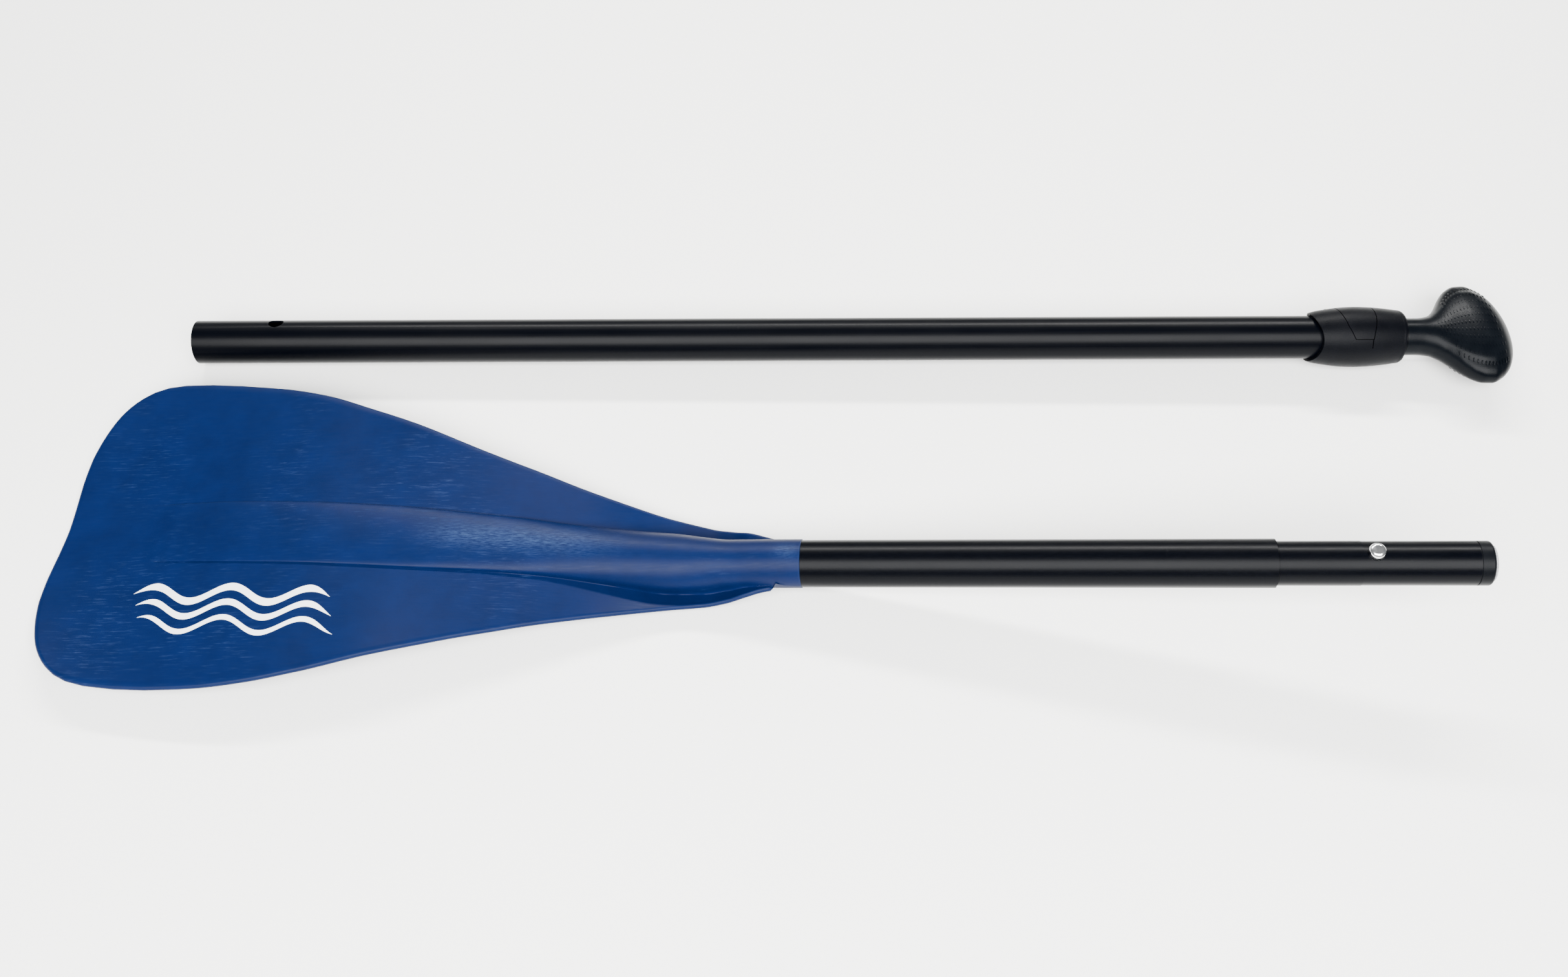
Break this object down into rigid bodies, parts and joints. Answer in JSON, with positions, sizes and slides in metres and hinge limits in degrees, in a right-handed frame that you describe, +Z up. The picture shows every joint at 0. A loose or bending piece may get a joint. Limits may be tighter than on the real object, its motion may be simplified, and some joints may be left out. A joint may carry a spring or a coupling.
{
  "type": "adjustable paddle",
  "caption": "Take-apart paddle in two loose sections: blue dished blade with snap-button spigot, and black tube with lever clamp, telescoping shaft and palm grip.",
  "frame": {"origin": "floor level, midway along and across the box around both sections as they lie", "axes": "+X along the handle section towards the palm grip, +Y from the blade section to the handle section, +Z up"},
  "size_m": [0.9498, 0.2976, 0.0855],
  "materials": {
    "blade_blue": "semi-gloss moulded blue plastic with fine scuffs",
    "tube_black": "satin black anodised",
    "plastic_black": "fine satin moulding",
    "foam_grey": "closed-cell foam, matt",
    "steel_bright": "polished",
    "steel_spring": "spring steel",
    "steel_fastener": "satin",
    "nylon_white": "natural nylon"
  },
  "bodies": {
    "blade_section": {"blade": "blade_blue", "lower_tube": "tube_black", "blade_rivet": "steel_fastener", "spigot_tube": "tube_black", "spigot_rivet": "steel_fastener", "spigot_end_cap": "plastic_black", "foam_plug": "foam_grey", "button_spring": "steel_spring"},
    "button": {"snap_button": "steel_bright"},
    "handle_section": {"main_tube": "tube_black", "clamp_collar": "plastic_black", "pivot_pin": "steel_fastener", "clamp_bolt": "steel_fastener", "thrust_washer": "nylon_white", "collar_pin": "steel_fastener", "guide_liner": "nylon_white"},
    "lever": {"clamp_lever": "plastic_black"},
    "telescopic_shaft": {"inner_shaft": "tube_black", "tail_glide": "nylon_white", "palm_grip": "plastic_black", "grip_pin": "plastic_black"}
  },
  "joints": [
    {"name": "handle_section_lift", "type": "slide", "parent": "blade_section", "child": "handle_section", "axis": [0, 0, 1], "range_m": [0, 0.25]},
    {"name": "length_adjust", "type": "slide", "parent": "handle_section", "child": "telescopic_shaft", "axis": [1, 0, 0.0074], "range_m": [0, 0.45]},
    {"name": "clamp_lever_swing", "type": "hinge", "parent": "handle_section", "child": "lever", "pos_m": [0.36856, 0.12936, 0.01663], "axis": [-1, 0, -0.0074], "range_deg": [0, 120]},
    {"name": "button_press", "type": "slide", "parent": "blade_section", "child": "button", "axis": [0.1302, -0.0091, -0.9914], "range_m": [0, 0.0042], "stiffness_N_per_m": 1500, "springref_m": -0.003, "deforming": ["button_spring"]}
  ]
}
